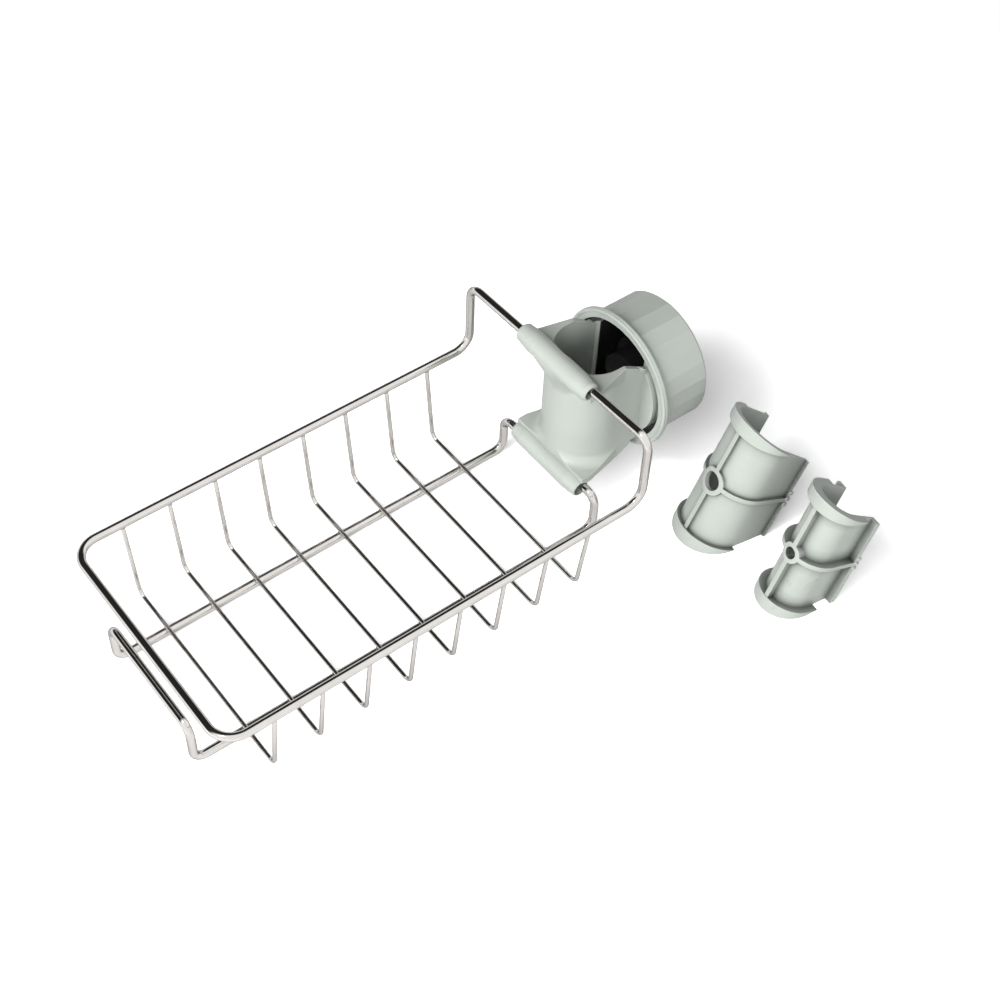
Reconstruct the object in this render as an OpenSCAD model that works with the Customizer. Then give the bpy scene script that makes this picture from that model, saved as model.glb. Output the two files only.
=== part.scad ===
// Wire sponge holder with a screw clamp for a tap pipe, and two adapter sleeves.
// Origin: where the pipe's axis crosses the knob's axis. +X runs from the basket to the knob, +Z is up.

/* [Wires] */
// Diameter of the two frame wires
frame_wire_d = 4; // [3:0.1:4.4]
// Diameter of the cross wires
cross_wire_d = 2; // [1.5:0.1:3]
// How deep a spot weld sinks one wire into the other
weld_sink = 0.2; // [0.1:0.05:0.4]

/* [Basket] */
// Width of the rim between wire centres
basket_w = 120; // [100:1:140]
// Distance from the pipe's axis to the rim's left bar
basket_reach = 231; // [200:1:260]
// Height of the rim's wire centre, below the pipe seat's middle
rim_drop = 5.8; // [0:0.1:12]
// Depth from the rim's wire centre to the legs' wire centre
basket_depth = 45.45; // [38:0.05:60]
// Distance between the two legs
leg_w = 63.3; // [56:0.1:80]
// Height of the turned-up end stop above the legs
end_stop_h = 23.35; // [18:0.05:30]
// How far the end stop reaches past the rim's left bar
end_stop_out = 0.9; // [0:0.1:4]
// Bend radius at the rim's left corners
rim_bend_r = 11; // [8:0.5:20]
// Bend radius from the rim up to the clamp
riser_bend_r = 9; // [6:0.5:14]
// Bend radius at the clamp bar's corners
bar_bend_r = 7; // [5:0.5:12]
// Bend radius of the end stop and of the lower clamp bar
leg_bend_r = 6; // [4.5:0.5:6]
// Distance from the rim's left bar to the first cross wire
cross_first = 23.7; // [18:0.1:30]
// Distance between cross wires
cross_pitch = 22.83; // [18:0.01:23]
// Width of a cross wire's floor between its corners
cross_floor_w = 109.2; // [96:0.1:112]
// Bend radius of a cross wire's corners
cross_bend_r = 5; // [3:0.5:8]

/* [Pipe seat] */
// Radius of the pipe seat
seat_r = 17.4; // [16:0.1:17.6]
// Wall of the clamp body beside the pipe
body_wall = 2.1; // [2:0.1:2.4]
// How far the body's round front stands ahead of the seat
front_shift = 1.5; // [0:0.1:2]
// Half height of the seat's wall
seat_half_h = 29; // [27:0.1:30]
// Where the rims begin to fall towards the knob, past the pipe's axis
rim_flat_end = 3.5; // [2:0.1:6]
// Fall of the rims for each length toward the knob
rim_slope_share = 0.62; // [0.5:0.01:0.7]
// Length of the arms past the pipe's axis
arm_l = 34; // [31:0.5:34]
// Where the arms grow thicker inwards and stop the sleeves' legs
arm_stop_x = 17.6; // [17.2:0.1:19]
// How far the arms grow inwards there
arm_stop_in = 1.8; // [1:0.1:2]

/* [Wire tubes] */
// Distance of the tubes from the pipe's axis
tube_x = 20.6; // [20:0.1:21]
// Height of the tubes' axes above and below the middle
tube_z = 31.65; // [31:0.05:33]
// Outer radius of the tubes
tube_r = 5.3; // [5:0.1:6]
// Outer radius at the tubes' tips
tube_tip_r = 4.5; // [4.3:0.1:5]
// Length of the tubes
tube_l = 47.6; // [46:0.1:48]
// Length over which a tip narrows
tube_tip_l = 8; // [3:0.5:10]
// Radius of the upper tube's bore
upper_bore_r = 3.1; // [2.6:0.05:3.4]
// Radius of the lower tube's bore
lower_bore_r = 3.7; // [3:0.05:3.9]
// How far the clamp bars lie above the tubes' axes
bar_lift = 0.75; // [0.5:0.05:0.8]
// Slant of the upper clamp bar across the tube
upper_skew_share = 0.03; // [0:0.001:0.031]
// Slant of the lower clamp bar across the tube
lower_skew_share = 0.055; // [0:0.001:0.058]

/* [Gussets] */
// Height of the flat ledges above and below the middle
ledge_z = 25.5; // [24:0.1:26]
// How far the ledges stand out beside the body, at the tubes
ledge_out = 4.2; // [3:0.1:5]
// Where the ledges have run out, past the pipe's axis
ledge_end = 3; // [2:0.5:3.5]
// Radius of the hollow fillet between a ledge and the body
ledge_fillet_r = 5; // [3:0.1:6]

/* [Thread] */
// Radius of the thread segments on the arms
thread_r = 27; // [26:0.1:27.2]
// Start of the thread segments, past the pipe's axis
thread_start = 15.3; // [14.6:0.1:16]
// Gap between the thread segments and the knob's bore
thread_gap = 0.3; // [0.2:0.05:0.4]

/* [Knob] */
// Start of the knob's mouth, past the pipe's axis
knob_start = 16.1; // [15.8:0.1:18]
// Length of the knob
knob_l = 29.4; // [28:0.1:34]
// How far the flange ring stands out from the barrel
flange_out = 3.6; // [2.5:0.1:5]
// Thickness of the flange ring
flange_t = 3; // [2:0.1:4]
// How far the mouth is wider than the bore behind it
mouth_out = 2.6; // [2.3:0.1:2.7]
// Depth of the counterbore in the mouth
mouth_depth = 4.2; // [4:0.1:5]
// Wall of the barrel round the mouth, at its facets' corners
mouth_wall = 1; // [0.9:0.1:1.6]
// Number of facets round the barrel
facet_count = 24; // [16:1:36]
// Width of the slanted edge round the barrel's back
barrel_edge = 1.5; // [1:0.1:2]
// Thickness of the knob's floor
knob_floor = 3; // [2:0.1:4]

/* [Presser] */
// Start of the presser's plate, past the pipe's axis
plate_start = 29.5; // [28.5:0.1:30]
// Radius of the presser's plate
plate_r = 14.5; // [12:0.1:15]
// Thickness of the presser's plate
plate_t = 2.4; // [1.6:0.1:3]
// Radius of the presser's stem
stem_r = 6; // [5:0.1:7]
// Running gap between the stem and the knob's hub
stem_gap = 0.08; // [0.02:0.01:0.1]
// Wall of the knob's hub round the stem
hub_wall = 2.6; // [2:0.1:3]
// Radius of the rubber nose
pad_r = 10.3; // [9.9:0.1:12]
// Length of the rubber nose
pad_l = 10.9; // [6:0.1:11]

/* [Adapters] */
// Width of the adapters' ribs
rib_t = 2.2; // [1.8:0.1:3.2]

/* [Large adapter] */
// Outer radius of the large adapter
large_r = 17.9; // [17.6:0.1:18.2]
// Radius of the large adapter's ribs, which go into the seat
large_rib_r = 17.2; // [16.8:0.1:17.2]
// Bore radius of the large adapter
large_bore_r = 14.7; // [14.5:0.1:15]
// Radius of the large adapter's sunk panels
large_panel_r = 15.8; // [15.5:0.1:16.4]
// Length of the large adapter's straight legs
large_leg = 16.8; // [14:0.1:18]
// Length of the large adapter along its front
large_l = 72.6; // [68:0.1:76]
// Slant of the large adapter's ends
large_slope_share = 0.38; // [0.3:0.01:0.42]
// Height of the large adapter's end collars above and below its middle
large_collar_z = 29.2; // [29.2:0.1:31]
// Width of the ribs along the large adapter's leg edges
large_edge_rib = 1; // [0.8:0.1:2]
// Radius of the large adapter's boss
large_boss_r = 6.8; // [6:0.1:8]
// Radius of the hole through the large adapter's boss
large_hole_r = 4.6; // [3:0.1:5]
// Place of the large adapter past the pipe's axis
large_x = 38.9; // [36:0.1:60]
// Distance of the large adapter to the side
large_y = 64.4; // [60:0.1:70]
// Turn of the large adapter on the table
large_turn = -9; // [-20:1:20]

/* [Small adapter] */
// Outer radius of the small adapter
small_r = 14.4; // [12.5:0.1:14.5]
// Radius of the small adapter's ribs
small_rib_r = 14.2; // [12.3:0.1:14.3]
// Bore radius of the small adapter
small_bore_r = 9.6; // [9:0.1:10]
// Radius of the small adapter's sunk panels
small_panel_r = 10.8; // [10.5:0.1:11.5]
// Length of the small adapter's straight legs
small_leg = 15; // [12:0.1:16]
// Length of the small adapter along its front
small_l = 67.6; // [62:0.1:72]
// Slant of the small adapter's ends
small_slope_share = 0.32; // [0.26:0.01:0.38]
// Height of the small adapter's end collars above and below its middle
small_collar_z = 27.2; // [25:0.1:29]
// Width of the ribs along the small adapter's leg edges
small_edge_rib = 2.2; // [1.6:0.1:3]
// Radius of the small adapter's boss
small_boss_r = 5; // [4.5:0.1:6]
// Radius of the hole through the small adapter's boss
small_hole_r = 2.9; // [2:0.1:4]
// Place of the small adapter past the pipe's axis
small_x = 37.65; // [34:0.1:60]
// Distance of the small adapter to the side
small_y = 114.2; // [110:0.1:125]
// Turn of the small adapter on the table
small_turn = -7.4; // [-20:0.1:20]

/* [Hidden] */
$fn = 64;

// How far cuts run past the faces they cut
overrun = 1;

// Heights and radii that the basket's wires share
frame_r = frame_wire_d / 2;
cross_r = cross_wire_d / 2;
rim_z = -rim_drop;
leg_z = rim_z - basket_depth;
table_z = leg_z - frame_r;
left_x = -basket_reach;
stop_x = left_x - end_stop_out;
stop_z = leg_z + end_stop_h;
bar_x = -tube_x;
half_w = basket_w / 2;
half_leg_w = leg_w / 2;
upper_bar_z = tube_z + bar_lift;
lower_bar_z = bar_lift - tube_z;

// Centre line of the cross wires: they rest on the legs and end under the rim
cross_z = leg_z + frame_r + cross_r - weld_sink;
cross_top_z = rim_z - frame_r + weld_sink;
cross_top_y = half_w - cross_r / 2;

// Corners of a wire that stands across the clamp at height z, with its slant
function at_bar(y, z, skew) = [bar_x - skew * y, y, z];

top_frame_points = [
    [left_x, half_w, rim_z],
    [left_x, -half_w, rim_z],
    at_bar(-half_w, rim_z, upper_skew_share),
    at_bar(-half_w, upper_bar_z, upper_skew_share),
    at_bar(half_w, upper_bar_z, upper_skew_share),
    at_bar(half_w, rim_z, upper_skew_share)];
top_frame_bends = [rim_bend_r, rim_bend_r, riser_bend_r, bar_bend_r, bar_bend_r, riser_bend_r];

bottom_frame_points = [
    [stop_x, half_leg_w, leg_z],
    [stop_x, half_leg_w, stop_z],
    [stop_x, -half_leg_w, stop_z],
    [stop_x, -half_leg_w, leg_z],
    at_bar(-half_leg_w, leg_z, lower_skew_share),
    at_bar(-half_leg_w, lower_bar_z, lower_skew_share),
    at_bar(half_leg_w, lower_bar_z, lower_skew_share),
    at_bar(half_leg_w, leg_z, lower_skew_share)];
bottom_frame_bends = [for (p = bottom_frame_points) leg_bend_r];

// Radii of the knob, from the bore outwards
knob_bore_r = thread_r + thread_gap;
mouth_r = knob_bore_r + mouth_out;
barrel_r = mouth_r + mouth_wall;
flange_r = barrel_r + flange_out;

// Clamp body
body_r = seat_r + body_wall;
body_end = thread_start + thread_gap;
clear_r = mouth_r - thread_gap;
tube_cut_r = seat_r + thread_gap;
arm_inner = seat_r - arm_stop_in;

// Knob and presser along the X axis
knob_end = knob_start + knob_l;
floor_x = knob_end - knob_floor;
plate_end = plate_start + plate_t;
hub_start = plate_end + thread_gap;
hub_r = stem_r + stem_gap + hub_wall;
bead_out = hub_wall / 5;
bead_l = hub_wall / 2;
bead_x = (hub_start + floor_x) / 2;
stem_end = knob_end - knob_floor / 2;
spigot_r = pad_r / 2;
spigot_l = pad_l / 3;
pad_start = plate_start - pad_l;

// A bent stretch is this much thicker than its straights, which run into it by the lap
bend_swell = 0.02;
bend_lap = 0.25;

function unit(v) = v / norm(v);
function wrap(i, n) = (i + n) % n;

// Angle through which the wire turns at point i, and the straight length its bend takes up
function turn(p, i) = let (n = len(p), a = unit(p[i] - p[wrap(i - 1, n)]), b = unit(p[wrap(i + 1, n)] - p[i]))
    acos(a * b);
function setback(p, r, i) = r[i] * tan(turn(p, i) / 2);

// A straight rod from a to b, run on by a lap at each end that meets a bend
module rod(a, b, r, lap_a, lap_b) {
    d = b - a;
    translate(a - unit(d) * lap_a) rotate([0, acos(d[2] / norm(d)), atan2(d[1], d[0])])
        cylinder(h = norm(d) + lap_a + lap_b, r = r);
}

// A bent length of wire: u points from the bend's centre to its start, along is the way it sets off
module bend(centre, u, along, angle, bend_r, wire_r) {
    w = cross(u, along);
    translate(centre)
        rotate([atan2(along[2], w[2]), -asin(u[2]), atan2(u[1], u[0])])
            rotate_extrude(angle = angle) translate([bend_r, 0]) circle(r = wire_r + bend_swell);
}

// The bend at point i of a wire, built from the end whose start isn't upright
module corner(p, r, i, wire_r) {
    n = len(p);
    a = unit(p[i] - p[wrap(i - 1, n)]);
    b = unit(p[wrap(i + 1, n)] - p[i]);
    angle = turn(p, i);
    centre = p[i] + unit(b - a) * r[i] / cos(angle / 2);
    u_start = unit(p[i] - a * setback(p, r, i) - centre);
    u_end = unit(p[i] + b * setback(p, r, i) - centre);
    if (abs(u_start[2]) < abs(u_end[2])) bend(centre, u_start, a, angle, r[i], wire_r);
    else bend(centre, u_end, -b, angle, r[i], wire_r);
}

// A wire through the points p, with bend radii r at them
module wire(p, r, wire_r, closed) {
    n = len(p);
    last = closed ? n - 1 : n - 2;
    for (i = [0 : last]) {
        j = wrap(i + 1, n);
        d = unit(p[j] - p[i]);
        bent_start = closed || i > 0;
        bent_end = closed || j < n - 1;
        rod(p[i] + (bent_start ? d * setback(p, r, i) : [0, 0, 0]),
            p[j] - (bent_end ? d * setback(p, r, j) : [0, 0, 0]), wire_r,
            bent_start ? bend_lap : 0, bent_end ? bend_lap : 0);
    }
    for (i = [closed ? 0 : 1 : closed ? n - 1 : n - 2]) corner(p, r, i, wire_r);
}

module top_frame_wire() {
    color([0.82, 0.82, 0.83]) wire(top_frame_points, top_frame_bends, frame_r, true);
}

module bottom_frame_wire() {
    color([0.82, 0.82, 0.83]) wire(bottom_frame_points, bottom_frame_bends, frame_r, true);
}

// Cross wire i counts from the left, with a saddle where it's welded to each frame wire
module cross_wire(i) {
    x = left_x + cross_first + (i - 1) * cross_pitch;
    half_floor = cross_floor_w / 2;
    points = [[x, -cross_top_y, cross_top_z], [x, -half_floor, cross_z], [x, half_floor, cross_z],
        [x, cross_top_y, cross_top_z]];
    color([0.80, 0.80, 0.81]) difference() {
        wire(points, [for (p = points) cross_bend_r], cross_r, false);
        for (side = [-1, 1]) {
            for (place = [[half_w, rim_z], [half_leg_w, leg_z]])
                translate([x - cross_pitch / 2, side * place[0], place[1]])
                    rotate([0, 90, 0]) cylinder(h = cross_pitch, r = frame_r);
        }
    }
}

// Outline of the body in plan: a half round front and two straight arms
module seat_plan(r, end) {
    circle(r = r);
    translate([0, -r]) square([end, 2 * r]);
}

// Solid between two mirrored rims from x to end: level up to the point called level, falling past it
module between_rims(x, level, end, half_h, slope) {
    width = 2 * (body_r + ledge_out + overrun);
    end_h = half_h - slope * (end - level);
    translate([0, width / 2, 0]) rotate([90, 0, 0]) linear_extrude(height = width)
        polygon([[x, half_h], [level, half_h], [end, end_h], [end, -end_h], [level, -half_h], [x, -half_h]]);
}

// Plan of the ledges: widest at the tubes and run out along the arms
module ledge_plan() {
    wide = body_r + ledge_out;
    polygon([[-tube_x, -wide], [tube_r - tube_x, -wide], [ledge_end, -body_r], [ledge_end, body_r],
        [tube_r - tube_x, wide], [-tube_x, wide]]);
}

// Section of the hollow fillet, against a wall at r and under a ledge at height 0
module fillet_section(r) {
    difference() {
        translate([r - overrun, -ledge_fillet_r]) square([ledge_fillet_r + overrun, ledge_fillet_r + overrun]);
        translate([r + ledge_fillet_r, -ledge_fillet_r]) circle(r = ledge_fillet_r);
    }
}

// One ledge with its fillet, on the upper side
module ledge() {
    fillet_low = ledge_z - ledge_fillet_r;
    intersection() {
        translate([0, 0, fillet_low]) linear_extrude(height = 2 * tube_z) ledge_plan();
        union() {
            translate([-2 * tube_x, -2 * body_r, ledge_z]) cube([4 * tube_x, 4 * body_r, tube_z]);
            translate([-front_shift, 0, ledge_z]) rotate_extrude() fillet_section(body_r);
            for (side = [0, 1]) {
                mirror([0, side, 0]) translate([-front_shift, 0, ledge_z]) rotate([90, 0, 90])
                    linear_extrude(height = 2 * ledge_end + front_shift) fillet_section(body_r);
            }
        }
    }
}

// Outer form of one wire tube along Y, with narrowed round tips
module tube_outer() {
    half = tube_l / 2;
    tip = half - tube_tip_l;
    edge = tube_tip_r / 4;
    for (side = [0, 1]) {
        mirror([0, side, 0]) rotate([-90, 0, 0]) rotate_extrude() {
            polygon([[0, 0], [tube_r, 0], [tube_r, tip], [tube_tip_r, half - edge],
                [tube_tip_r - edge, half], [0, half]]);
        }
    }
}

// Bore of one wire tube
module tube_bore(r) {
    translate([0, -tube_l / 2 - overrun, 0]) rotate([-90, 0, 0]) cylinder(h = tube_l + 2 * overrun, r = r);
}

// Thread segments: the round sides of the arms that the knob runs on
module thread_segments() {
    difference() {
        translate([thread_start, 0, 0]) rotate([0, 90, 0]) cylinder(h = arm_l - thread_start, r = thread_r);
        translate([thread_start - overrun, -arm_inner, -flange_r])
            cube([arm_l, 2 * arm_inner, 2 * flange_r]);
    }
}

// What the knob's mouth needs clear round the arms when it is screwed home
module knob_room() {
    room_start = thread_start - mouth_depth;
    difference() {
        translate([room_start, 0, 0]) rotate([0, 90, 0]) cylinder(h = arm_l, r = 2 * flange_r);
        translate([room_start - overrun, 0, 0]) rotate([0, 90, 0])
            cylinder(h = mouth_depth + 2 * overrun, r = clear_r);
    }
}

module clamp_body() {
    color([0.76, 0.79, 0.76]) difference() {
        union() {
            difference() {
                intersection() {
                    between_rims(-2 * body_r, rim_flat_end, body_end, seat_half_h, rim_slope_share);
                    union() {
                        translate([-front_shift, 0, 0]) linear_extrude(height = 2 * seat_half_h, center = true)
                            seat_plan(body_r, body_end + front_shift);
                        for (side = [0, 1]) mirror([0, 0, side]) ledge();
                    }
                }
                knob_room();
            }
            thread_segments();
            for (side = [-1, 1]) translate([bar_x, 0, side * tube_z]) tube_outer();
        }
        linear_extrude(height = 4 * tube_z, center = true) seat_plan(seat_r, arm_stop_x);
        for (side = [0, 1]) mirror([0, 0, side])
            translate([0, 0, seat_half_h]) linear_extrude(height = tube_z) seat_plan(tube_cut_r, arm_stop_x);
        translate([bar_x, 0, tube_z]) tube_bore(upper_bore_r);
        translate([bar_x, 0, -tube_z]) tube_bore(lower_bore_r);
    }
}

// Barrel of the knob: flat facets, with a slanted edge round the back
module barrel() {
    intersection() {
        translate([knob_start, 0, 0]) rotate([0, 90, 0]) linear_extrude(height = knob_l)
            polygon([for (i = [0 : facet_count - 1]) barrel_r * [cos(i * 360 / facet_count),
                sin(i * 360 / facet_count)]]);
        translate([knob_start, 0, 0]) rotate([0, 90, 0]) rotate_extrude()
            polygon([[0, -overrun], [barrel_r + overrun, -overrun],
                [barrel_r + overrun, knob_l - barrel_edge - overrun],
                [barrel_r - barrel_edge - overrun, knob_l + overrun], [0, knob_l + overrun]]);
    }
}

// Flange ring with a rounded outer edge and a slanted foot that runs into the barrel
module flange() {
    edge = flange_t / 2;
    translate([knob_start, 0, 0]) rotate([0, 90, 0]) rotate_extrude() {
        square([flange_r - edge, flange_t]);
        translate([flange_r - edge, edge]) circle(r = edge);
        polygon([[knob_bore_r, edge], [barrel_r + edge, edge], [barrel_r + edge, flange_t],
            [barrel_r - edge, flange_t + 2 * edge], [knob_bore_r, flange_t + 2 * edge]]);
    }
}

// Cylinder along X from one place to another
module along_x(start, end, r) {
    translate([start, 0, 0]) rotate([0, 90, 0]) cylinder(h = end - start, r = r);
}

module knob() {
    color([0.66, 0.69, 0.66]) difference() {
        union() {
            difference() {
                union() {
                    barrel();
                    flange();
                }
                along_x(knob_start - overrun, knob_start + mouth_depth, mouth_r);
                along_x(knob_start, floor_x, knob_bore_r);
            }
            along_x(hub_start, floor_x + overrun, hub_r);
        }
        along_x(hub_start - overrun, stem_end + stem_gap, stem_r + stem_gap);
        along_x(bead_x - bead_l / 2 - stem_gap, bead_x + bead_l / 2 + stem_gap, stem_r + bead_out + stem_gap);
    }
}

module presser() {
    color([0.60, 0.63, 0.60]) {
        along_x(plate_start, plate_end, plate_r);
        along_x(plate_end - overrun, stem_end, stem_r);
        along_x(bead_x - bead_l / 2, bead_x + bead_l / 2, stem_r + bead_out);
        along_x(plate_start - spigot_l, plate_start + overrun, spigot_r);
    }
}

// Rubber nose, hollowed along Z so that it lies against a pipe
module presser_pad() {
    hollow_r = 2 * seat_r;
    depth = pad_l / 10;
    color([0.05, 0.05, 0.05]) difference() {
        along_x(pad_start, plate_start, pad_r);
        along_x(plate_start - spigot_l, plate_start + overrun, spigot_r);
        translate([pad_start + depth - hollow_r, 0, 0])
            cylinder(h = 4 * pad_r, r = hollow_r, center = true);
    }
}

// Half height of an adapter at its bore's axis, from the length of its front and the slant of its ends
function middle_h(front_l, slope, r) = front_l / 2 - slope * r;

// Adapter in its own frame: the closed front faces -X and the legs run to +X.
// The collars stand out to r, the ribs to rib_r, and the panels between them are sunk to panel_r.
module adapter(r, rib_r, bore_r, panel_r, leg, front_l, slope, collar_z, edge_rib, boss_r, hole_r) {
    difference() {
        intersection() {
            difference() {
                union() {
                    linear_extrude(height = 2 * collar_z, center = true) seat_plan(rib_r, leg);
                    for (side = [0, 1]) mirror([0, 0, side])
                        translate([0, 0, collar_z]) linear_extrude(height = front_l) seat_plan(r, leg);
                }
                linear_extrude(height = 4 * front_l, center = true) seat_plan(bore_r, 2 * leg);
            }
            between_rims(-r, -r, leg, front_l / 2, slope);
        }
        difference() {
            linear_extrude(height = 2 * collar_z, center = true) difference() {
                translate([-2 * r, -2 * r]) square([2 * r + leg - edge_rib, 4 * r]);
                seat_plan(panel_r, leg);
            }
            cube([4 * r, 4 * r, rib_t], center = true);
            translate([-2 * r, 0, 0]) cube([4 * r, rib_t, 2 * front_l], center = true);
            translate([-2 * r, 0, 0]) rotate([0, 90, 0]) cylinder(h = 2 * r, r = boss_r);
        }
        translate([-2 * r, 0, 0]) rotate([0, 90, 0]) cylinder(h = 2 * r, r = hole_r);
    }
}

// Stands an adapter on its lower slanted end on the table
module stand(x, y, turn, half_h, slope) {
    tilt = atan(slope);
    translate([x, y, table_z + half_h * cos(tilt)]) rotate([0, tilt, turn]) children();
}

module large_adapter() {
    color([0.78, 0.81, 0.78])
        stand(large_x, -large_y, large_turn, middle_h(large_l, large_slope_share, large_r), large_slope_share)
            adapter(large_r, large_rib_r, large_bore_r, large_panel_r, large_leg, large_l, large_slope_share,
                large_collar_z, large_edge_rib, large_boss_r, large_hole_r);
}

module small_adapter() {
    color([0.78, 0.81, 0.78])
        stand(small_x, -small_y, small_turn, middle_h(small_l, small_slope_share, small_r), small_slope_share)
            adapter(small_r, small_rib_r, small_bore_r, small_panel_r, small_leg, small_l, small_slope_share,
                small_collar_z, small_edge_rib, small_boss_r, small_hole_r);
}

top_frame_wire();
bottom_frame_wire();
cross_wire(1);  // cross_wire_1
cross_wire(2);  // cross_wire_2
cross_wire(3);  // cross_wire_3
cross_wire(4);  // cross_wire_4
cross_wire(5);  // cross_wire_5
cross_wire(6);  // cross_wire_6
cross_wire(7);  // cross_wire_7
cross_wire(8);  // cross_wire_8
clamp_body();
knob();
presser();
presser_pad();
large_adapter();
small_adapter();
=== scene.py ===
import bpy
import numpy as np
from mathutils import Matrix, Vector


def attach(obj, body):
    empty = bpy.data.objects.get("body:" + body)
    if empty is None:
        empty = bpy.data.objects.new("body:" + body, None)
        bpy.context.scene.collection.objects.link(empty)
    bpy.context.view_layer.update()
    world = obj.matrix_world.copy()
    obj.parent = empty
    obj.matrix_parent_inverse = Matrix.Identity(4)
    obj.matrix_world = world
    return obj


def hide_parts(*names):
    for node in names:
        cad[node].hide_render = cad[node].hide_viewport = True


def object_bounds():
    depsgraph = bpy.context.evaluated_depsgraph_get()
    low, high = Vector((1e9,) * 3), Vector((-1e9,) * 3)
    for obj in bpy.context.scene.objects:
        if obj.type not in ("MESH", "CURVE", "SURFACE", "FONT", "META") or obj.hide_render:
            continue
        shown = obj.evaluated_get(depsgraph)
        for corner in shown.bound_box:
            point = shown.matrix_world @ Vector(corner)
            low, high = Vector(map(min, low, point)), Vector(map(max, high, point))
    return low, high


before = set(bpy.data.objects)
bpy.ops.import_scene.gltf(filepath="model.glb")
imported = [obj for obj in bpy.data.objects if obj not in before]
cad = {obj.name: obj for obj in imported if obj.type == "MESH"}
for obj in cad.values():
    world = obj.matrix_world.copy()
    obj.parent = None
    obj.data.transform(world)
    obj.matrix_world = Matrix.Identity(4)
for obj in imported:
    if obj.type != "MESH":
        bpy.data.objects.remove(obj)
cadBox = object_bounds()
mm = 0.001
print("frame loaded:", len(cad), "nodes")


# Helpers that several pieces share

def unitRows(a):  # every row divided by its own length
    return a / np.linalg.norm(a, axis=-1, keepdims=True)


def gridFaces(rows, cols, loopRows, loopCols, start=0):
    # quads between neighbouring rows and columns of a grid of points, joined round where asked
    rowStarts = np.arange(rows if loopRows else rows - 1)
    colStarts = np.arange(cols if loopCols else cols - 1)
    i, j = np.meshgrid(rowStarts, colStarts, indexing="ij")
    i, j = i.ravel(), j.ravel()
    ip, jp = (i + 1) % rows, (j + 1) % cols
    return start + np.stack([i * cols + j, ip * cols + j, ip * cols + jp, i * cols + jp], 1)


def newPiece(name, verts, faces, body, material, replaced=(), uv=None):
    # verts in millimetres; uv holds one pair for each vertex
    mesh = bpy.data.meshes.new(name)
    mesh.from_pydata((np.asarray(verts) * mm).tolist(), [], faces)
    mesh.polygons.foreach_set("use_smooth", np.full(len(mesh.polygons), True))
    if uv is not None:
        layer = mesh.uv_layers.new(name="along")
        corner = np.empty(len(mesh.loops), np.int32)
        mesh.loops.foreach_get("vertex_index", corner)
        layer.data.foreach_set("uv", np.asarray(uv)[corner].ravel())
    mesh.update()
    piece = bpy.data.objects.new(name, mesh)
    bpy.context.scene.collection.objects.link(piece)
    mesh.materials.append(material)
    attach(piece, body)
    if replaced:
        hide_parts(*replaced)
    return piece


# Materials

shadeSamples = 6  # rays of each shade and bevel node


def makeGroup(name, ins, outs):
    # empty node group with its sockets: (name, kind, value) for each input and (name, kind) for each output
    group = bpy.data.node_groups.new(name, "ShaderNodeTree")
    for label, kind, value in ins:
        socket = group.interface.new_socket(label, in_out="INPUT", socket_type=kind)
        if value is not None:
            socket.default_value = value
    for label, kind in outs:
        group.interface.new_socket(label, in_out="OUTPUT", socket_type=kind)
    return group, group.nodes.new("NodeGroupInput"), group.nodes.new("NodeGroupOutput")


def mathNode(tree, operation, a, b=None, c=None):
    # the operation on up to three values, each a socket or a number
    node = tree.nodes.new("ShaderNodeMath")
    node.operation = operation
    for socket, value in zip(node.inputs, (a, b, c)):
        if value is None:
            continue
        if hasattr(value, "links"):
            tree.links.new(value, socket)
        else:
            socket.default_value = value
    return node.outputs[0]


def noiseNode(tree, vector, scale, detail=2.0, roughness=0.5):
    # noise between 0 and 1 at the vector, its settings sockets or numbers
    node = tree.nodes.new("ShaderNodeTexNoise")
    tree.links.new(vector, node.inputs["Vector"])
    for label, value in (("Scale", scale), ("Detail", detail), ("Roughness", roughness)):
        if hasattr(value, "links"):
            tree.links.new(value, node.inputs[label])
        else:
            node.inputs[label].default_value = value
    return node.outputs["Fac"]


def mixNode(tree, factor, a, b):
    # colour a * (1 - factor) + b * factor
    node = tree.nodes.new("ShaderNodeMix")
    node.data_type = "RGBA"
    tree.links.new(factor, node.inputs["Factor"])
    for label, value in (("A", a), ("B", b)):
        if hasattr(value, "links"):
            tree.links.new(value, node.inputs[label])
        else:
            node.inputs[label].default_value = (*value, 1)
    return node.outputs["Result"]


def makeMouldedSkin():
    # height = fine spark-eroded grain, tone = slow flow marks with specks, roughness = a swing with the flow
    look = {"speckScale": 260.0, "speckShare": 0.35, "grainHeight": 0.4}
    group, gin, gout = makeGroup("mouldedSkin", [
        ("Vector", "NodeSocketVector", None), ("Grain", "NodeSocketFloat", 900.0),
        ("Flow", "NodeSocketFloat", 28.0), ("Base", "NodeSocketFloat", 0.4),
        ("Spread", "NodeSocketFloat", 0.12)],
        [("Tone", "NodeSocketFloat"), ("Rough", "NodeSocketFloat"), ("Height", "NodeSocketFloat")])
    vector = gin.outputs["Vector"]
    grain = noiseNode(group, vector, gin.outputs["Grain"], 1.0)
    flow = noiseNode(group, vector, gin.outputs["Flow"], 3.0, 0.55)
    speck = noiseNode(group, vector, look["speckScale"], 2.0)
    slow = mathNode(group, "MULTIPLY", flow, 1 - look["speckShare"])
    tone = mathNode(group, "MULTIPLY_ADD", speck, look["speckShare"], slow)
    swing = mathNode(group, "SUBTRACT", flow, 0.5)
    rough = mathNode(group, "MULTIPLY_ADD", swing, gin.outputs["Spread"], gin.outputs["Base"])
    height = mathNode(group, "MULTIPLY", grain, look["grainHeight"])
    for value, label in ((tone, "Tone"), (rough, "Rough"), (height, "Height")):
        group.links.new(value, gout.inputs[label])
    return group


mouldedSkin = makeMouldedSkin()


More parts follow.
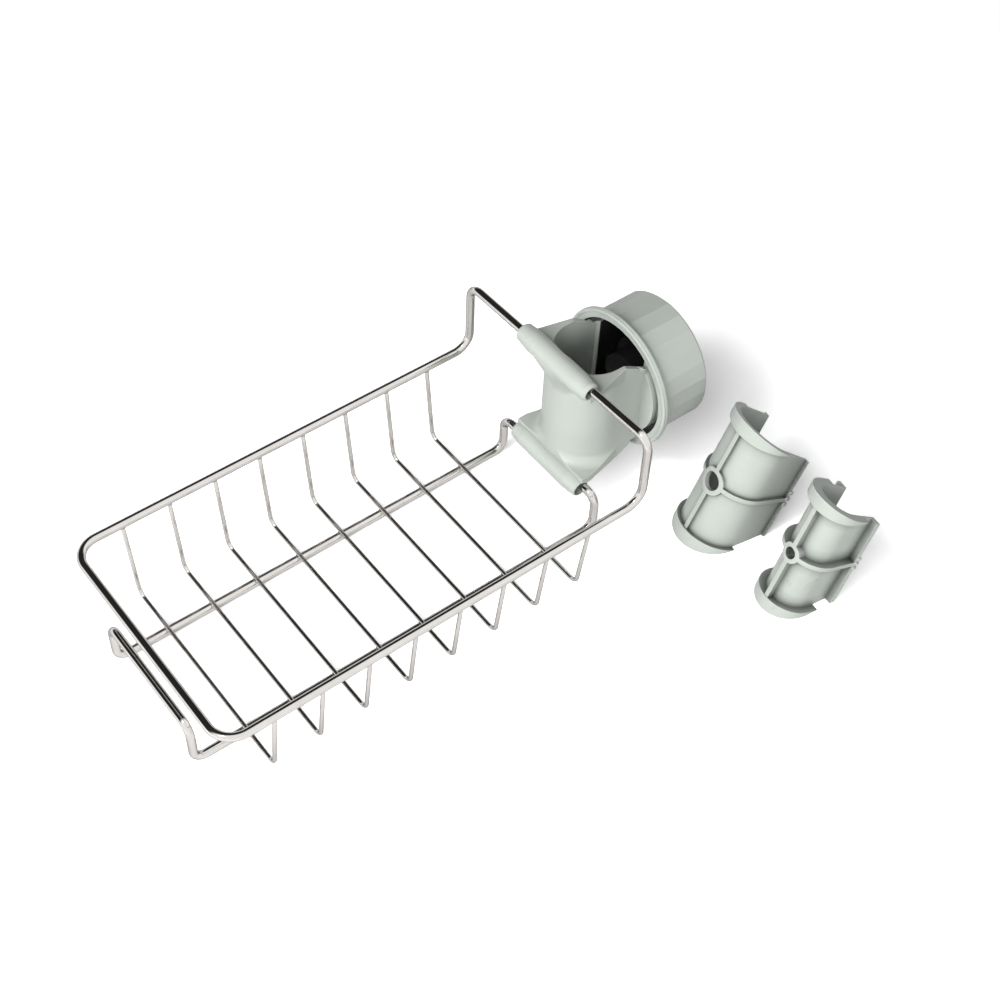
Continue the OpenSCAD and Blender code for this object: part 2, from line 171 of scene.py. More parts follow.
def makePaintedKnobShade():
    # mask of painted shade = (radius below the given one) * (x beyond the start) * (1 - sky ^ power),
    # where sky is the open share that far-reaching shade rays meet
    look = {"reach": 0.05, "power": 2.4}
    group, gin, gout = makeGroup("paintedKnobShade", [
        ("Vector", "NodeSocketVector", None), ("Radius", "NodeSocketFloat", 0.03),
        ("Start", "NodeSocketFloat", 0.01)],
        [("Mask", "NodeSocketFloat")])
    split = group.nodes.new("ShaderNodeSeparateXYZ")
    group.links.new(gin.outputs["Vector"], split.inputs[0])
    x, y, z = split.outputs
    radius = mathNode(group, "SQRT", mathNode(group, "MULTIPLY_ADD", y, y, mathNode(group, "MULTIPLY", z, z)))
    within = mathNode(group, "LESS_THAN", radius, gin.outputs["Radius"])
    beyond = mathNode(group, "GREATER_THAN", x, gin.outputs["Start"])
    far = group.nodes.new("ShaderNodeAmbientOcclusion")
    far.samples = shadeSamples
    far.inputs["Distance"].default_value = look["reach"]
    closed = mathNode(group, "SUBTRACT", 1.0, mathNode(group, "POWER", far.outputs["AO"], look["power"]))
    inside = mathNode(group, "MULTIPLY", within, beyond)
    group.links.new(mathNode(group, "MULTIPLY", closed, inside), gout.inputs["Mask"])
    return group


paintedKnobShade = makePaintedKnobShade()


def plasticMaterial(name, look):
    # moulded plastic: tone, then a painted highlight along the edges, then painted shade in hollows and deep
    # inside
    material = bpy.data.materials.new(name)
    material.use_nodes = True
    tree = material.node_tree
    link = tree.links.new
    shader = tree.nodes["Principled BSDF"]
    coords = tree.nodes.new("ShaderNodeTexCoord")
    skin = tree.nodes.new("ShaderNodeGroup")
    skin.node_tree = mouldedSkin
    link(coords.outputs["Object"], skin.inputs["Vector"])
    for label, key in (("Grain", "grain"), ("Flow", "flow"), ("Base", "rough"), ("Spread", "roughSpread")):
        skin.inputs[label].default_value = look[key]
    tone = mixNode(tree, skin.outputs["Tone"], look["dark"], look["light"])
    bevel = tree.nodes.new("ShaderNodeBevel")
    bevel.samples = shadeSamples
    bevel.inputs["Radius"].default_value = look["edge"] * mm
    geometry = tree.nodes.new("ShaderNodeNewGeometry")
    bend = tree.nodes.new("ShaderNodeVectorMath")  # 1 on flat faces, less where an edge is rounded over
    bend.operation = "DOT_PRODUCT"
    link(bevel.outputs["Normal"], bend.inputs[0])
    link(geometry.outputs["Normal"], bend.inputs[1])
    # painted highlight: the colour goes toward a pale cream tone along rounded edges, where light catches
    # them
    paintedHighlight = tree.nodes.new("ShaderNodeMapRange")
    for label, key in (("From Min", "highlightFrom"), ("From Max", "highlightTo"), ("To Max", "paintedHighlight")):
        paintedHighlight.inputs[label].default_value = look[key]
    link(bend.outputs["Value"], paintedHighlight.inputs["Value"])
    highlighted = mixNode(tree, paintedHighlight.outputs["Result"], tone, look["highlightTone"])
    paintedShadeAO = tree.nodes.new("ShaderNodeAmbientOcclusion")  # painted shade: the colour goes dark in hollows and narrow gaps
    paintedShadeAO.samples = shadeSamples
    paintedShadeAO.inputs["Distance"].default_value = look["reach"] * mm
    paintedShadeAO.only_local = True
    # depth is the share of painted shade that the shade rays give
    depth = mathNode(tree, "SUBTRACT", 1.0, mathNode(tree, "POWER", paintedShadeAO.outputs["AO"], look["paintedShadePower"]))
    withPaintedShade = mixNode(tree, depth, highlighted, look["deep"])
    if look["innerR"]:  # painted shade: within the knob the colour goes dark
        inner = tree.nodes.new("ShaderNodeGroup")
        inner.node_tree = paintedKnobShade
        link(coords.outputs["Object"], inner.inputs["Vector"])
        inner.inputs["Radius"].default_value = look["innerR"] * mm
        inner.inputs["Start"].default_value = look["innerX"] * mm
        withPaintedShade = mixNode(tree, inner.outputs["Mask"], withPaintedShade, look["deep"])
    link(withPaintedShade, shader.inputs["Base Color"])
    link(skin.outputs["Rough"], shader.inputs["Roughness"])
    shader.inputs["IOR"].default_value = look["ior"]
    bump = tree.nodes.new("ShaderNodeBump")
    bump.inputs["Strength"].default_value = look["bump"]
    bump.inputs["Distance"].default_value = look["bumpDepth"]
    link(skin.outputs["Height"], bump.inputs["Height"])
    link(bevel.outputs["Normal"], bump.inputs["Normal"])
    link(bump.outputs["Normal"], shader.inputs["Normal"])
    return material


def steelMaterial(name, look):
    # drawn wire: long faint lines along the wire, from the piece's own UV map
    material = bpy.data.materials.new(name)
    material.use_nodes = True
    tree = material.node_tree
    shader = tree.nodes["Principled BSDF"]
    coords = tree.nodes.new("ShaderNodeTexCoord")
    mapping = tree.nodes.new("ShaderNodeMapping")
    mapping.inputs["Scale"].default_value = (look["linesRound"], look["linesAlong"], 1)
    tree.links.new(coords.outputs["UV"], mapping.inputs["Vector"])
    lines = noiseNode(tree, mapping.outputs["Vector"], 1.0, 3.0, 0.6)
    cloud = noiseNode(tree, coords.outputs["Object"], look["cloud"], 2.0)
    polish = mixNode(tree, cloud, look["dark"], look["light"])
    facing = tree.nodes.new("ShaderNodeLayerWeight")  # painted dark rim: the colour darkens where the wire turns away from the eye
    edge = tree.nodes.new("ShaderNodeMapRange")
    edge.interpolation_type = "SMOOTHSTEP"
    for label, key in (("From Min", "paintedRimStart"), ("From Max", "paintedRimEnd"), ("To Max", "paintedRimDepth")):
        edge.inputs[label].default_value = look[key]
    tree.links.new(facing.outputs["Facing"], edge.inputs["Value"])
    tone = mixNode(tree, edge.outputs["Result"], polish, look["rim"])
    tree.links.new(tone, shader.inputs["Base Color"])
    shader.inputs["Metallic"].default_value = 1.0
    rough = mathNode(tree, "MULTIPLY_ADD", lines, look["roughSpread"], look["rough"])
    tree.links.new(rough, shader.inputs["Roughness"])
    bump = tree.nodes.new("ShaderNodeBump")
    bump.inputs["Strength"].default_value = look["bump"]
    bump.inputs["Distance"].default_value = look["bumpDepth"]
    tree.links.new(lines, bump.inputs["Height"])
    tree.links.new(bump.outputs["Normal"], shader.inputs["Normal"])
    return material


# edge, reach, innerR and innerX are in millimetres, bumpDepth in metres
# deep, paintedShadePower and reach set the painted shade in hollows, highlightTone and paintedHighlight the
# painted highlight on the edges
bodyLook = {"dark": (0.385, 0.415, 0.382), "light": (0.435, 0.468, 0.432), "rough": 0.29, "roughSpread": 0.08,
            "ior": 1.49, "grain": 1400.0, "flow": 30.0, "bump": 0.12, "bumpDepth": 0.0002, "edge": 0.5,
            "highlightTone": (0.70, 0.68, 0.61), "highlightFrom": 0.995, "highlightTo": 0.86, "paintedHighlight": 0.55,
            "deep": (0.004, 0.004, 0.004), "reach": 7.0, "paintedShadePower": 0.3, "innerR": 26.9, "innerX": 18.4}
knobLook = {**bodyLook, "flow": 24.0, "edge": 0.4, "innerR": 29.95, "innerX": 0.0}
# the presser and its nose get the painted shade of the knob's inside all over
presserLook = {**bodyLook, "dark": (0.05, 0.05, 0.05), "light": (0.07, 0.07, 0.07), "rough": 0.5, "edge": 0.4,
               "innerR": 40.0, "innerX": -40.0}
noseLook = {**presserLook, "dark": (0.010, 0.010, 0.010), "light": (0.022, 0.022, 0.022), "rough": 0.7,
            "bump": 0.3, "edge": 0.6, "highlightTone": (0.03, 0.03, 0.03)}
sleeveLook = {**bodyLook, "flow": 40.0, "edge": 0.4, "paintedShadePower": 2.2, "innerR": 0}
# rim is the colour of the painted dark rim along the wire's outline
steelLook = {"dark": (0.72, 0.69, 0.66), "light": (0.86, 0.835, 0.81), "rim": (0.06, 0.045, 0.035),
             "paintedRimStart": 0.4, "paintedRimEnd": 0.85, "paintedRimDepth": 0.85, "rough": 0.07, "roughSpread": 0.10,
             "linesRound": 26.0, "linesAlong": 60.0, "cloud": 90.0, "bump": 0.12, "bumpDepth": 0.00005}
weldLook = {**steelLook, "dark": (0.50, 0.48, 0.45), "light": (0.66, 0.64, 0.61), "rough": 0.22}

bodyPlastic = plasticMaterial("bodyPlastic", bodyLook)
knobPlastic = plasticMaterial("knobPlastic", knobLook)
presserPlastic = plasticMaterial("presserPlastic", presserLook)
noseRubber = plasticMaterial("noseRubber", noseLook)
sleevePlastic = plasticMaterial("sleevePlastic", sleeveLook)
frameSteel = steelMaterial("frameSteel", steelLook)
crossSteel = steelMaterial("crossSteel", {**steelLook, "linesRound": 16.0})
weldSteel = steelMaterial("weldSteel", weldLook)

cadMaterials = {"clamp_body": bodyPlastic, "knob": knobPlastic, "presser": presserPlastic,
                "presser_pad": noseRubber, "large_adapter": sleevePlastic, "small_adapter": sleevePlastic}
for node, material in cadMaterials.items():
    mesh = cad[node].data
    mesh.materials.clear()
    mesh.materials.append(material)
print("materials made")


# Wires

wires = {"frameR": 2.0, "crossR": 1.0, "leftX": -231.0, "halfRim": 60.0, "halfLegs": 31.65,
         "rimZ": -5.8, "legZ": -51.25, "stopX": -231.9, "stopZ": -27.9,
         "barX": -20.6, "upperZ": 32.4, "lowerZ": -30.9, "upperSkew": 0.03, "lowerSkew": 0.055,
         "rimBend": 11.0, "riserBend": 9.0, "barBend": 7.0, "legBend": 6.0,
         "crossFirst": 23.7, "crossPitch": 22.83, "crossFloor": 54.6, "crossBend": 5.0, "crossCount": 8,
         "sink": 0.2}


def wireLine(corners, bends, closed, arcSteps=14):
    # Centre line of a bent wire: each corner becomes an arc of its radius r that starts r*tan(turn/2) before
    # it, and the side vector turns with the arc about its axis, so that it's carried along without twist.
    p = np.asarray(corners, float)
    n = len(p)
    places, sides, ways = [], [], []
    way = unitRows(p[1] - p[0] if not closed else p[0] - p[-1])
    side = unitRows(np.cross(way, [0.3, 0.2, 1.0]))
    if not closed:
        places.append(p[:1])
        sides.append(side[None])
        ways.append(way[None])
    for k in range(0 if closed else 1, n if closed else n - 1):
        a, b = unitRows(p[k] - p[k - 1]), unitRows(p[(k + 1) % n] - p[k])
        turn, r = np.arccos(np.clip(a @ b, -1, 1)), bends[k]
        axis = unitRows(np.cross(a, b))
        centre = p[k] + unitRows(b - a) * r / np.cos(turn / 2)
        out = unitRows(p[k] - a * r * np.tan(turn / 2) - centre)
        t = np.linspace(0, turn, arcSteps)[:, None]
        places.append(centre + r * (out * np.cos(t) + a * np.sin(t)))
        ways.append(a * np.cos(t) - out * np.sin(t))
        turned = side * np.cos(t) + np.cross(axis, side) * np.sin(t)
        sides.append(turned + axis * (axis @ side) * (1 - np.cos(t)))
        side = sides[-1][-1]
    if not closed:
        places.append(p[-1:])
        sides.append(side[None])
        ways.append(b[None])
    places, sides, ways = np.concatenate(places), np.concatenate(sides), np.concatenate(ways)
    dist = np.concatenate([[0], np.cumsum(np.linalg.norm(np.diff(places, axis=0), axis=1))])
    return places, sides, ways, dist


def wireMesh(line, radius, closed, around=28, tipRound=0.35):
    # Circle of the radius at each place of the line. An open wire gets a rounded cut edge and a closed tip.
    places, sides, ways, dist = line
    radii = np.full(len(places), radius)
    if not closed:
        back = np.array([0.0, 0.0, 0.3, 1.0]) * tipRound * radius
        tipR = np.array([0.02, 1 - tipRound, 1 - tipRound * 0.3, 1.0]) * radius
        head, tail = places[:1] + ways[:1] * back[:, None], places[-1:] - ways[-1:] * back[::-1, None]
        places = np.concatenate([head, places[1:-1], tail])
        sides = np.concatenate([np.repeat(sides[:1], 4, 0), sides[1:-1], np.repeat(sides[-1:], 4, 0)])
        ways = np.concatenate([np.repeat(ways[:1], 4, 0), ways[1:-1], np.repeat(ways[-1:], 4, 0)])
        radii = np.concatenate([tipR, radii[1:-1], tipR[::-1]])
        dist = np.concatenate([[0], np.cumsum(np.linalg.norm(np.diff(places, axis=0), axis=1))])
    theta = np.linspace(0, 2 * np.pi, around, endpoint=False)[None, :]
    if closed:  # the twist left over after one round is spread over the whole length
        first, up = sides[0], np.cross(ways[0], sides[0])
        left = np.arctan2(sides[-1] @ up, sides[-1] @ first)
        theta = theta - left * (dist / dist[-1])[:, None]
    ups = np.cross(ways, sides)
    ring = np.cos(theta)[..., None] * sides[:, None] + np.sin(theta)[..., None] * ups[:, None]
    verts = (places[:, None] + radii[:, None, None] * ring).reshape(-1, 3)
    faces = gridFaces(len(places), around, closed, True)[:, ::-1]
    across = np.broadcast_to(np.linspace(0, 1, around)[None], (len(places), around))
    uv = np.stack([across, np.broadcast_to(dist[:, None] * mm, across.shape)], -1).reshape(-1, 2)
    if not closed:  # one small face closes each tip
        n = len(places) * around
        caps = [list(range(around)), list(range(n - around, n))[::-1]]
        return verts, list(map(list, faces)) + caps, uv
    return verts, list(map(list, faces)), uv


def makeWires():
    # The rim and the legs are closed lines through their corners, bent at each, and a cross wire is an open U
    # that hangs from the rim's sides and lies on both legs.
    w = wires
    leftX, rimY, legY = w["leftX"], w["halfRim"], w["halfLegs"]
    bar = lambda y, z, skew: [w["barX"] - skew * y, y, z]
    rim = [[leftX, rimY, w["rimZ"]], [leftX, -rimY, w["rimZ"]], bar(-rimY, w["rimZ"], w["upperSkew"]),
           bar(-rimY, w["upperZ"], w["upperSkew"]), bar(rimY, w["upperZ"], w["upperSkew"]),
           bar(rimY, w["rimZ"], w["upperSkew"])]
    rimBends = [w["rimBend"], w["rimBend"], w["riserBend"], w["barBend"], w["barBend"], w["riserBend"]]
    legs = [[w["stopX"], legY, w["legZ"]], [w["stopX"], legY, w["stopZ"]], [w["stopX"], -legY, w["stopZ"]],
            [w["stopX"], -legY, w["legZ"]], bar(-legY, w["legZ"], w["lowerSkew"]),
            bar(-legY, w["lowerZ"], w["lowerSkew"]), bar(legY, w["lowerZ"], w["lowerSkew"]),
            bar(legY, w["legZ"], w["lowerSkew"])]
    for name, node, corners, bends in (("rimWire", "top_frame_wire", rim, rimBends),
                                       ("legWire", "bottom_frame_wire", legs, [w["legBend"]] * 8)):
        verts, faces, uv = wireMesh(wireLine(corners, bends, True), w["frameR"], True)
        newPiece(name, verts, faces, "rack", frameSteel, (node,), uv)
    floorZ = w["legZ"] + w["frameR"] + w["crossR"] - w["sink"]
    topZ, topY = w["rimZ"] - w["frameR"] + w["sink"], rimY - w["crossR"] / 2
    for k in range(w["crossCount"]):
        x = leftX + w["crossFirst"] + k * w["crossPitch"]
        corners = [[x, -topY, topZ], [x, -w["crossFloor"], floorZ],
                   [x, w["crossFloor"], floorZ], [x, topY, topZ]]
        line = wireLine(corners, [w["crossBend"]] * 4, False)
        verts, faces, uv = wireMesh(line, w["crossR"], False, around=20)
        name, node = "crossWire%d" % (k + 1), "cross_wire_%d" % (k + 1)
        newPiece(name, verts, faces, "rack", crossSteel, (node,), uv)
    print("wires made")


makeWires()


# Small lumps: weld beads and snap teeth

def cubeSkin(n):
    # surface of the cube -1..1 as n x n squares a side, its corner places joined where they meet
    i, j = np.meshgrid(np.arange(n), np.arange(n), indexing="ij")
    corners = ((0, 0), (1, 0), (1, 1), (0, 1))
    square = np.stack([np.stack([i + a, j + b], -1).reshape(-1, 2) for a, b in corners], 1)
    sides = []
    for axis in range(3):
        for level in (0, n):
            side = np.insert(square, axis, level, axis=2)
            sides.append(side[:, ::-1] if (level == 0) != (axis == 1) else side)
    places, faces = np.unique(np.concatenate(sides).reshape(-1, 3), axis=0, return_inverse=True)
    return places / n * 2 - 1, faces.reshape(-1, 4)


def lumpMesh(centres, halves, power, n=6):
    # Each lump is |x/a|^power + |y/b|^power + |z/c|^power = 1: an ellipsoid at 2, a rounded block above it.
    unit, square = cubeSkin(n)
    unit = unit / (np.abs(unit) ** power).sum(-1, keepdims=True) ** (1 / power)
    centres, halves = np.asarray(centres, float), np.asarray(halves, float)
    verts = (centres[:, None] + unit * np.broadcast_to(halves, centres.shape)[:, None]).reshape(-1, 3)
    faces = (square[None] + np.arange(len(centres))[:, None, None] * len(unit)).reshape(-1, 4)
    return verts, faces.tolist()


def makeWeldBeads():
    # one bead where each cross wire meets the rim's underside and one where it lies on a leg
    w = wires
    look = {"rimHalf": (1.35, 1.0, 0.85), "legHalf": (1.45, 1.7, 0.5), "rimDrop": 1.75, "legRise": 1.95,
            "power": 2.0}
    x = w["leftX"] + w["crossFirst"] + np.arange(w["crossCount"]) * w["crossPitch"]
    spots = []
    rimSpot = (w["halfRim"] - w["crossR"] / 2, w["rimZ"] - look["rimDrop"])
    legSpot = (w["halfLegs"], w["legZ"] + look["legRise"])
    for y, z in (rimSpot, legSpot):
        for side in (-1, 1):
            spots.append(np.stack([x, np.full_like(x, side * y), np.full_like(x, z)], 1))
    centres = np.concatenate(spots)
    halves = np.repeat([look["rimHalf"], look["legHalf"]], 2 * w["crossCount"], axis=0)
    verts, faces = lumpMesh(centres, halves, look["power"])
    newPiece("weldBeads", verts, faces, "rack", weldSteel)


def makeSnapTeeth(name, body, look):
    # rounded blocks on both leg edges in the sleeve's frame, tilted by atan(slope), turned and set in place
    tilt, turn = np.arctan(look["slope"]), np.radians(look["turn"])
    z, half = np.array(look["levels"]), np.array(look["half"])
    side = np.repeat([-1.0, 1.0], len(z))
    centres = np.stack([np.full(len(side), look["leg"]), side * look["across"], np.tile(z, 2)], 1)
    verts, faces = lumpMesh(centres, half, look["power"])
    lean = np.array([[np.cos(tilt), 0, np.sin(tilt)], [0, 1, 0], [-np.sin(tilt), 0, np.cos(tilt)]])
    spin = np.array([[np.cos(turn), -np.sin(turn), 0], [np.sin(turn), np.cos(turn), 0], [0, 0, 1]])
    verts = verts @ (spin @ lean).T + look["place"]
    newPiece(name, verts, faces, body, sleevePlastic)


makeWeldBeads()
makeSnapTeeth("largeTeeth", "large_adapter", {
    "slope": 0.38, "turn": -9.0, "leg": 17.1, "across": 16.95, "levels": (3.9, 0.5, -2.9),
    "half": (1.2, 0.7, 1.0), "power": 5.0, "place": (38.9, -64.4, -25.68)})
makeSnapTeeth("smallTeeth", "small_adapter", {
    "slope": 0.32, "turn": -7.4, "leg": 15.1, "across": 14.0, "levels": (3.0, 0.2, -2.6),
    "half": (1.1, 0.7, 0.7), "power": 5.0, "place": (37.65, -114.2, -25.45)})
print("beads and teeth made")


# Clamp details

def makeTubeRamp():
    # Under the upper tube the body's front swells out to meet it. At each y the profile runs from the tube's
    # front down to the body's, x = -shift - sqrt(r^2 - y^2), as a cubic that starts and ends straight down.
    look = {"halfWidth": 15.5, "bodyR": 19.5, "shift": 1.5, "tubeX": -20.6, "tubeR": 5.3, "skew": 0.03,
            "top": 31.2, "foot": 13.0, "footSide": 27.0, "inset": 0.06, "depth": 3.0,
            "sidePower": 2.5, "sideDrop": 0.9, "across": 49, "down": 25}
    y = np.linspace(-look["halfWidth"], look["halfWidth"], look["across"])[:, None]
    t = np.linspace(0, 1, look["down"])[None]
    share = np.abs(y / look["halfWidth"]) ** look["sidePower"]
    tubeFront = look["tubeX"] - look["skew"] * y - look["tubeR"] + look["inset"] + share * look["sideDrop"]
    bodyFront = -look["shift"] - np.sqrt(look["bodyR"] ** 2 - y ** 2) + look["inset"]
    foot = look["foot"] + (look["footSide"] - look["foot"]) * share
    ease = t * t * (3 - 2 * t)
    x = tubeFront + (bodyFront - tubeFront) * ease
    z = look["top"] + (foot - look["top"]) * t
    front = np.stack([x, np.broadcast_to(y, x.shape), z], -1)
    back = front[:, ::-1] + [look["depth"], 0, 0]
    verts = np.concatenate([front, back], 1)
    rows, cols = verts.shape[:2]
    last = (rows - 1) * cols
    faces = gridFaces(rows, cols, False, True)[:, ::-1].tolist()
    faces += [list(range(cols)), list(range(last, last + cols))[::-1]]
    newPiece("tubeRamp", verts.reshape(-1, 3), faces, "rack", bodyPlastic)


def makeBoreWalls():
    # The relief of radius 17.7 above and below the seat runs into both tubes' bores. A thin wall (angle, z)
    # between two radii just behind the relief closes each bore again.
    look = {"inner": 17.73, "outer": 18.05, "steps": 25, "edge": 0.9,
            "tubes": ((31.65, 1.5, 0.18), (-31.65, 2.7, 0.344))}  # height, half height and half angle
    side = [-1, -look["edge"], look["edge"], 1]
    level, around = np.array(side + side[::-1]), 2 * len(side)
    radius = np.repeat([look["inner"], look["outer"]], len(side))
    verts, faces = [], []
    for z, halfZ, halfAngle in look["tubes"]:
        angle = np.linspace(np.pi - halfAngle, np.pi + halfAngle, look["steps"])[:, None]
        start = sum(map(len, verts))
        x, y = radius * np.cos(angle), radius * np.sin(angle)
        verts.append(np.stack([x, y, np.broadcast_to(z + halfZ * level, x.shape)], -1).reshape(-1, 3))
        last = start + (look["steps"] - 1) * around
        faces += gridFaces(look["steps"], around, False, True, start)[:, ::-1].tolist()
        faces += [list(range(start, start + around))[::-1], list(range(last, last + around))]
    newPiece("boreWalls", np.concatenate(verts), faces, "rack", bodyPlastic)


def makeRingBead():
    # rounded bead on the outer edge of the knob's ring: an ellipse swept round the knob's axis
    look = {"x": 16.35, "r": 33.35, "axial": 0.75, "radial": 1.05, "round": 144, "across": 20}
    a = np.linspace(0, 2 * np.pi, look["round"], endpoint=False)[:, None]
    b = np.linspace(0, 2 * np.pi, look["across"], endpoint=False)[None]
    r = look["r"] + look["radial"] * np.cos(b)
    verts = np.stack([look["x"] + look["axial"] * np.sin(b) + 0 * a, r * np.cos(a), r * np.sin(a)], -1)
    faces = gridFaces(look["round"], look["across"], True, True).tolist()
    newPiece("ringBead", verts.reshape(-1, 3), faces, "knob", knobPlastic)


def ridgeMesh(spans, x, foot, crest, look, steps):
    # ridge on the helix x = start + pitch * angle / 2 pi, from the foot radius to the crest radius, which
    # runs out at both ends
    t = np.linspace(0, 1, steps)[None, :, None]
    low, high = (np.asarray(spans, float)[:, i, None, None] for i in (0, 1))
    angle = low + (high - low) * t
    full = np.clip(np.minimum(t, 1 - t) * (high - low) / look["runOut"], look["leastRise"], 1)
    wide = look["footHalf"] * (look["endWidth"] + (1 - look["endWidth"]) * full)
    narrow = look["crestHalf"] * full
    bury = np.sign(foot - crest) * look["bury"] + 0 * full
    along = np.concatenate([-wide, -narrow, narrow, wide, wide, -wide], -1)
    rise = np.concatenate([0 * full, full, full, 0 * full, 0 * full, 0 * full], -1)
    sunk = np.concatenate([0 * full, 0 * full, 0 * full, 0 * full, bury, bury], -1)
    r = foot + (crest - foot) * rise + sunk
    verts = np.stack([np.asarray(x, float)[:, None, None] + look["pitch"] * angle / (2 * np.pi) + along,
                      r * np.cos(angle), r * np.sin(angle)], -1)
    count, rows, cols = verts.shape[:3]
    side = gridFaces(rows, cols, False, True)
    side = side if crest > foot else side[:, ::-1]
    faces = (side[None] + np.arange(count)[:, None, None] * rows * cols).reshape(-1, 4).tolist()
    for k in range(count):
        start, end = k * rows * cols, (k + 1) * rows * cols
        first, last = list(range(start, start + cols)), list(range(end - cols, end))
        faces += [first[::-1], last] if crest > foot else [first, last[::-1]]
    return verts.reshape(-1, 3), faces


def makeThreads():
    # Each arm carries parts of right-handed turns. The knob's bore has one long ridge, half a pitch off them.
    look = {"pitch": 4.0, "footHalf": 0.95, "crestHalf": 0.4, "runOut": 0.12, "bury": 0.4,
            "leastRise": 0.04, "endWidth": 0.4, "armR": 27.0, "armCrest": 27.24, "armAngle": 0.93,
            "armFirst": 17.6, "armCount": 4, "armSteps": 48,
            "boreR": 27.3, "boreCrest": 27.07, "boreFirst": 19.6, "boreTurns": 4.4, "boreSteps": 420}
    rows = np.arange(look["armCount"]) * look["pitch"] + look["armFirst"]
    spans = [[c - look["armAngle"], c + look["armAngle"]] for c in (0, np.pi) for _ in rows]
    starts = np.concatenate([rows, rows])
    verts, faces = ridgeMesh(spans, starts, look["armR"], look["armCrest"], look, look["armSteps"])
    newPiece("armThread", verts, faces, "rack", bodyPlastic)
    span = [[np.pi, np.pi + 2 * np.pi * look["boreTurns"]]]
    starts = [look["boreFirst"]]
    verts, faces = ridgeMesh(span, starts, look["boreR"], look["boreCrest"], look, look["boreSteps"])
    newPiece("boreThread", verts, faces, "knob", knobPlastic)


makeTubeRamp()
makeBoreWalls()
makeRingBead()
makeThreads()
print("clamp details made")


# Floor, light and camera

studio = {"floorHalf": 2.5, "floorTone": 0.3, "floorSeen": 1.5, "floorMirrored": 0.72, "fadeFrom": 0.3,
          "fadeTo": 0.55, "fill": 0.30, "darkFromZ": (0.14, 0.34), "darkFromY": (0.0, 0.28),
          "darkShare": 0.98}
lamps = {"keyLamp": {"place": (-1.1, -0.35, 0.95), "size": 1.0, "power": 17.8, "mirrored": False},
         "leftLamp": {"place": (-1.3, 0.15, 0.35), "size": 0.7, "power": 9.0, "mirrored": False},
         "sideLamp": {"place": (-0.5, -1.25, 0.35), "size": 0.7, "power": 10.0, "mirrored": False},
         "sparkLamp": {"place": (-0.9, -0.15, 1.1), "size": 0.16, "power": 2.4, "mirrored": True}}


def makeFloor():
    # flat square under the object's lowest point: its tone depends on which ray sees it
    count = 9
    steps = np.linspace(-studio["floorHalf"], studio["floorHalf"], count)
    xs, ys = np.meshgrid(steps, steps, indexing="ij")
    verts = np.stack([xs.ravel(), ys.ravel(), np.full(xs.size, cadBox[0][2])], 1)
    mesh = bpy.data.meshes.new("tableTop")
    mesh.from_pydata(verts.tolist(), [], gridFaces(count, count, False, False).tolist())
    material = bpy.data.materials.new("paperWhite")
    material.use_nodes = True
    tree = material.node_tree
    tree.nodes.clear()
    out = tree.nodes.new("ShaderNodeOutputMaterial")
    paper = tree.nodes.new("ShaderNodeBsdfDiffuse")
    path = tree.nodes.new("ShaderNodeLightPath")
    grey = lambda value: (value,) * 3
    tone, mirror = grey(studio["floorTone"]), grey(studio["floorMirrored"])
    unseen = mixNode(tree, path.outputs["Is Glossy Ray"], tone, mirror)
    seen = mixNode(tree, path.outputs["Is Camera Ray"], unseen, grey(studio["floorSeen"]))
    tree.links.new(seen, paper.inputs["Color"])
    coords = tree.nodes.new("ShaderNodeTexCoord")  # far out, where no shadow falls, the table is plain white
    reach = tree.nodes.new("ShaderNodeVectorMath")
    reach.operation = "LENGTH"
    tree.links.new(coords.outputs["Object"], reach.inputs[0])
    fade = tree.nodes.new("ShaderNodeMapRange")
    fade.interpolation_type = "SMOOTHSTEP"
    fade.inputs["From Min"].default_value = studio["fadeFrom"]
    fade.inputs["From Max"].default_value = studio["fadeTo"]
    tree.links.new(reach.outputs["Value"], fade.inputs["Value"])
    glow = tree.nodes.new("ShaderNodeEmission")
    blend = tree.nodes.new("ShaderNodeMixShader")
    farSeen = mathNode(tree, "MULTIPLY", fade.outputs["Result"], path.outputs["Is Camera Ray"])
    tree.links.new(farSeen, blend.inputs["Fac"])
    tree.links.new(paper.outputs["BSDF"], blend.inputs[1])
    tree.links.new(glow.outputs["Emission"], blend.inputs[2])
    tree.links.new(blend.outputs["Shader"], out.inputs["Surface"])
    mesh.materials.append(material)
    floor = bpy.data.objects.new("tableTop", mesh)
    bpy.context.scene.collection.objects.link(floor)


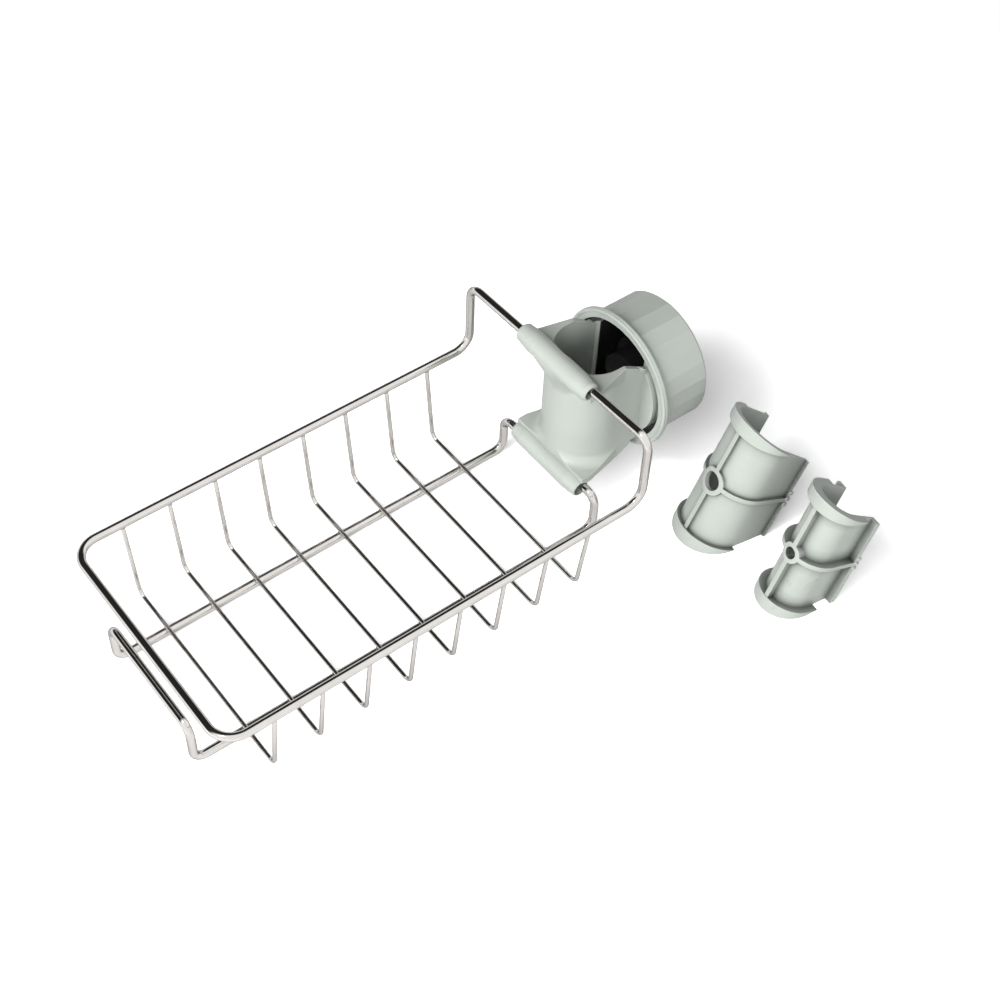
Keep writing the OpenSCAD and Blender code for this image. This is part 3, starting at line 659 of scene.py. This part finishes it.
def makeWorld():
    # white for the camera, a room with one dark side for mirrors, an even fill for all other light
    world = bpy.data.worlds.new("studioRoom")
    bpy.context.scene.world = world
    world.use_nodes = True
    tree = world.node_tree
    tree.nodes.clear()
    out = tree.nodes.new("ShaderNodeOutputWorld")
    path = tree.nodes.new("ShaderNodeLightPath")
    coords = tree.nodes.new("ShaderNodeTexCoord")
    split = tree.nodes.new("ShaderNodeSeparateXYZ")
    tree.links.new(coords.outputs["Generated"], split.inputs[0])
    ramps = []  # the far side of the room is dark overhead and the rest of it is white, as the steel shows it
    for axis, start, end in (("Z", *studio["darkFromZ"]), ("Y", *studio["darkFromY"])):
        ramp = tree.nodes.new("ShaderNodeMapRange")
        ramp.interpolation_type = "SMOOTHSTEP"
        ramp.inputs["From Min"].default_value, ramp.inputs["From Max"].default_value = start, end
        tree.links.new(split.outputs[axis], ramp.inputs["Value"])
        ramps.append(ramp.outputs["Result"])
    dark = mathNode(tree, "MULTIPLY_ADD", mathNode(tree, "MULTIPLY", *ramps), -studio["darkShare"], 1.0)
    glossy = tree.nodes.new("ShaderNodeMix")
    glossy.data_type = "FLOAT"
    glossy.inputs["A"].default_value = studio["fill"]
    tree.links.new(path.outputs["Is Glossy Ray"], glossy.inputs["Factor"])
    tree.links.new(dark, glossy.inputs["B"])
    seen = mathNode(tree, "MAXIMUM", path.outputs["Is Camera Ray"], path.outputs["Is Transmission Ray"])
    level = tree.nodes.new("ShaderNodeMix")
    level.data_type = "FLOAT"
    tree.links.new(seen, level.inputs["Factor"])
    tree.links.new(glossy.outputs["Result"], level.inputs["A"])
    level.inputs["B"].default_value = 1.0
    back = tree.nodes.new("ShaderNodeBackground")
    back.inputs["Color"].default_value = (1, 1, 1, 1)
    tree.links.new(level.outputs["Result"], back.inputs["Strength"])
    tree.links.new(back.outputs["Background"], out.inputs["Surface"])


def addLamp(name, look):
    # only a mirrored lamp shows in the steel and as a small highlight on the plastic
    data = bpy.data.lights.new(name, "AREA")
    data.shape, data.size, data.energy = "SQUARE", look["size"], look["power"]
    lamp = bpy.data.objects.new(name, data)
    bpy.context.scene.collection.objects.link(lamp)
    lamp.location = look["place"]
    lamp.rotation_euler = (-Vector(look["place"])).to_track_quat("-Z", "Y").to_euler()
    lamp.visible_glossy = look["mirrored"]


def makeCamera():
    # solved from the straight wires of the photograph, as the camera's right, down and forward ways
    look = {"right": (0.793265, -0.608011, 0.032453), "down": (-0.448495, -0.619533, -0.64423),
            "ahead": (0.411804, 0.49649, -0.764143), "place": (-0.38106, -0.40067, 0.574177),
            "sensor": 36.0, "lens": 62.8688}
    data = bpy.data.cameras.new("photoCamera")
    data.sensor_width, data.lens = look["sensor"], look["lens"]
    camera = bpy.data.objects.new("photoCamera", data)
    bpy.context.scene.collection.objects.link(camera)
    right, down, ahead = (Vector(look[key]) for key in ("right", "down", "ahead"))
    axes = Matrix((right, -down, -ahead)).transposed()
    camera.matrix_world = Matrix.Translation(look["place"]) @ axes.to_4x4()
    bpy.context.scene.camera = camera


makeFloor()
makeWorld()
for name, lamp in lamps.items():
    addLamp(name, lamp)
makeCamera()
bpy.context.scene.view_settings.view_transform = "Standard"
print("stage made")
